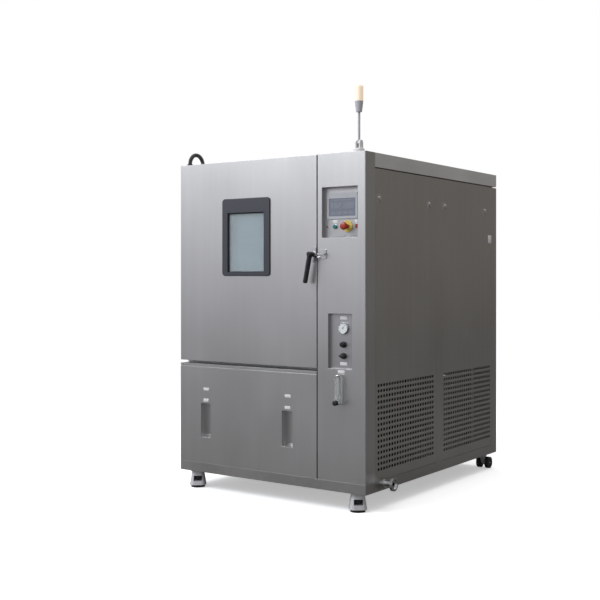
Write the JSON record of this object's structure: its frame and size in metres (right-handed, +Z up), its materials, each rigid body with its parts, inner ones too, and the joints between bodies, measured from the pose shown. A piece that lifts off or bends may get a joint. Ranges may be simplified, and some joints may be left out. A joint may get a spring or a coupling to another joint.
{
  "type": "environmental test chamber",
  "caption": "Upright stainless test chamber with a hinged windowed door, a control column, a machine room behind perforated panels, a signal lamp and castors.",
  "frame": {"origin": "on the floor, under the middle of the whole object's bounding box", "axes": "+Z up, the door and the control column face -Y, +X to the right"},
  "size_m": [1.405, 1.76, 2.321],
  "materials": {
    "stainless": "brushed stainless sheet",
    "galvanised": "galvanised steel",
    "wool": "mineral wool board",
    "thermal_break": "moulded thermal break",
    "chrome": "polished",
    "cast_aluminium": "cast, satin",
    "fins": "plain fins",
    "black_plastic": "matt black",
    "dark_frame": "dark grey",
    "grey_plastic": "light grey",
    "white_plastic": "white",
    "glass": "clear",
    "acrylic": "clear acrylic",
    "screen_glass": "lit display",
    "rubber": "black rubber",
    "silicone": "silicone gasket",
    "copper": "copper pipe",
    "machine_blue": "enamel",
    "machine_black": "enamel",
    "green": "lit green",
    "red": "red",
    "yellow": "yellow",
    "amber_lens": "amber lens",
    "float_steel": "ground"
  },
  "bodies": {
    "cabinet": {"base_frame": "stainless", "body_frame": "stainless", "mouth_frame": "thermal_break", "roof_cap": "stainless", "left_panel": "stainless", "rear_panel": "stainless", "side_panel_front": "stainless", "side_panel_rear": "stainless", "control_column": "stainless", "chamber_liner": "stainless", "insulation": "wool", "rear_baffle": "stainless", "wire_shelves": "stainless", "duct_coils": "fins", "fan_motor": "machine_blue", "compressors": "machine_black", "condenser": "fins", "refrigerant_pipes": "copper", "recess_trays": "stainless", "screen_bezel": "grey_plastic", "touch_screen": "screen_glass", "button_collars": "yellow", "pressure_gauge": "chrome", "flow_meter": "acrylic", "latch_keeper": "chrome", "cabinet_hinges": "chrome", "signal_base": "white_plastic", "cable_port": "stainless", "conduit_loop": "black_plastic", "service_fittings": "chrome", "front_castors": "cast_aluminium", "levelling_feet": "rubber", "rear_castor_plates": "galvanised", "panel_latches": "chrome"},
    "door": {"door_skin": "stainless", "door_plug": "stainless", "door_gasket": "silicone", "window_frame": "dark_frame", "window_glass": "glass", "door_hinges": "chrome", "handle_plate": "chrome", "door_gland": "black_plastic"},
    "lever": {"lever_hub": "chrome", "lever_grip": "black_plastic"},
    "lower_panel": {"lower_panel": "stainless"},
    "mast": {"signal_pole": "grey_plastic", "signal_lens": "amber_lens"},
    "green_button": {"green_button": "green"},
    "red_button": {"red_button": "red"},
    "stop_button": {"stop_button": "red"},
    "regulator_knob": {"regulator_knob": "black_plastic"},
    "selector_knob": {"selector_knob": "black_plastic"},
    "flow_knob": {"flow_knob": "black_plastic"},
    "flow_float": {"flow_float": "float_steel"},
    "circulation_fan": {"circulation_fan": "stainless"},
    "condenser_fan": {"condenser_fan": "black_plastic"},
    "rear_left_fork": {"rear_left_fork": "cast_aluminium"},
    "rear_left_wheels": {"rear_left_wheels": "rubber"},
    "rear_right_fork": {"rear_right_fork": "cast_aluminium"},
    "rear_right_wheels": {"rear_right_wheels": "rubber"}
  },
  "joints": [
    {"name": "door_hinge", "type": "hinge", "parent": "cabinet", "child": "door", "pos_m": [-0.6915, -0.75, 0.773], "axis": [0, 0, -1], "range_deg": [0, 120]},
    {"name": "lever_turn", "type": "hinge", "parent": "door", "child": "lever", "pos_m": [0.3075, -0.815, 1.403], "axis": [0, 1, 0], "range_deg": [-25, 65]},
    {"name": "lower_panel_lift", "type": "slide", "parent": "cabinet", "child": "lower_panel", "axis": [0, 0, 1], "range_m": [0, 0.014]},
    {"name": "mast_fold", "type": "hinge", "parent": "cabinet", "child": "mast", "pos_m": [0.5675, -0.76, 2.007], "axis": [-1, 0, 0], "range_deg": [0, 90]},
    {"name": "green_button_press", "type": "slide", "parent": "cabinet", "child": "green_button", "axis": [0, 1, 0], "range_m": [0, 0.003], "stiffness_N_per_m": 400},
    {"name": "red_button_press", "type": "slide", "parent": "cabinet", "child": "red_button", "axis": [0, 1, 0], "range_m": [0, 0.003], "stiffness_N_per_m": 400},
    {"name": "stop_button_press", "type": "slide", "parent": "cabinet", "child": "stop_button", "axis": [0, 1, 0], "range_m": [0, 0.005]},
    {"name": "regulator_knob_turn", "type": "hinge", "parent": "cabinet", "child": "regulator_knob", "pos_m": [0.4915, -0.795, 0.909], "axis": [0, 1, 0], "range_deg": [-135, 135]},
    {"name": "selector_knob_turn", "type": "hinge", "parent": "cabinet", "child": "selector_knob", "pos_m": [0.4915, -0.795, 0.847], "axis": [0, 1, 0], "range_deg": [-135, 135]},
    {"name": "flow_knob_turn", "type": "hinge", "parent": "cabinet", "child": "flow_knob", "pos_m": [0.4825, -0.851, 0.5952], "axis": [0, 1, 0], "range_deg": [-720, 0]},
    {"name": "float_rise", "type": "slide", "parent": "cabinet", "child": "flow_float", "axis": [0, 0, 1], "range_m": [0, 0.085]},
    {"name": "circulation_fan_spin", "type": "hinge", "parent": "cabinet", "child": "circulation_fan", "pos_m": [-0.174, 0.452, 1.364], "axis": [0, 1, 0], "continuous": true},
    {"name": "condenser_fan_spin", "type": "hinge", "parent": "cabinet", "child": "condenser_fan", "pos_m": [-0.0175, 0.755, 0.381], "axis": [0, 1, 0], "continuous": true},
    {"name": "rear_left_swivel", "type": "hinge", "parent": "cabinet", "child": "rear_left_fork", "pos_m": [-0.6105, 0.785, 0.09], "axis": [0, 0, 1], "continuous": true},
    {"name": "rear_left_roll", "type": "hinge", "parent": "rear_left_fork", "child": "rear_left_wheels", "pos_m": [-0.6105, 0.81, 0.0375], "axis": [1, 0, 0], "continuous": true},
    {"name": "rear_right_swivel", "type": "hinge", "parent": "cabinet", "child": "rear_right_fork", "pos_m": [0.5755, 0.785, 0.09], "axis": [0, 0, 1], "continuous": true},
    {"name": "rear_right_roll", "type": "hinge", "parent": "rear_right_fork", "child": "rear_right_wheels", "pos_m": [0.5755, 0.81, 0.0375], "axis": [1, 0, 0], "continuous": true}
  ]
}
